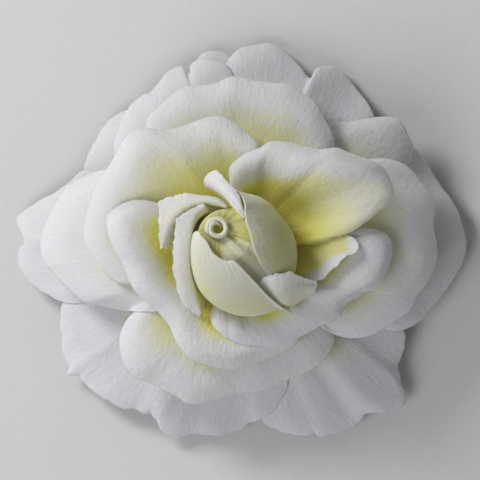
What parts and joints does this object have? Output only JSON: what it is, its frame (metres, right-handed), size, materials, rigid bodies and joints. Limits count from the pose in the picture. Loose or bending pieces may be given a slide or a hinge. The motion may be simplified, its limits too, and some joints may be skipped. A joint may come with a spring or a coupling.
{
  "type": "flower hair clip",
  "caption": "Hair clip with a full-blown fabric rose of separate curled petals on a stem and felt disc, glued to a sprung metal alligator clip with toothed jaws.",
  "frame": {"origin": "centre of the bounding box's base, under the rose", "axes": "+Z out of the rose's face, away from the hair; -X towards the clip's toothed tip; +Y across the clip"},
  "size_m": [0.1104, 0.0974, 0.0502],
  "materials": {
    "petal_white": "thin white satin-like cloth, ivory towards the root",
    "petal_ivory": "thin ivory cloth, yellow-green towards the root",
    "bud_yellow": "yellow-green cloth over a moulded core",
    "stem_green": "moulded plastic, matt",
    "felt_white": "white wool felt",
    "glue_clear": "hot-melt glue, satin",
    "clip_steel": "stamped nickel-plated steel",
    "spring_steel": "drawn spring wire"
  },
  "bodies": {
    "rose": {"petal_inner_upper_right": "petal_ivory", "petal_inner_right_small": "petal_ivory", "petal_inner_lower_right": "petal_ivory", "petal_inner_lower_left": "petal_ivory", "petal_inner_upper_left": "petal_ivory", "petal_middle_left": "petal_white", "petal_middle_top": "petal_white", "petal_middle_right": "petal_white", "petal_middle_bottom": "petal_white", "petal_outer_right_upper": "petal_white", "petal_outer_top_left": "petal_white", "petal_outer_top": "petal_white", "petal_outer_right": "petal_white", "petal_outer_left": "petal_white", "petal_outer_left_upper": "petal_white", "petal_outer_bottom_left": "petal_white", "petal_outer_bottom_right": "petal_white", "petal_outer_top_back": "petal_white", "bud_petal_front": "petal_ivory", "bud_petal_low": "petal_ivory", "bud_petal_right": "petal_ivory", "bud_petal_upper_left": "petal_ivory", "bud_petal_left": "petal_ivory", "bud_rolled_eye": "petal_white", "bud_core": "bud_yellow", "rose_stem": "stem_green", "felt_disc": "felt_white", "glue_pad": "glue_clear", "upper_lever": "clip_steel", "hinge_pin": "clip_steel", "hinge_spring": "spring_steel"},
    "lower_jaw": {"lower_lever": "clip_steel"}
  },
  "joints": [
    {"name": "jaw_hinge", "type": "hinge", "parent": "rose", "child": "lower_jaw", "pos_m": [0.01, 0, 0.006], "axis": [0, -1, 0], "range_deg": [0, 24], "stiffness_Nm_per_rad": 0.1, "springref_deg": -51.57}
  ]
}
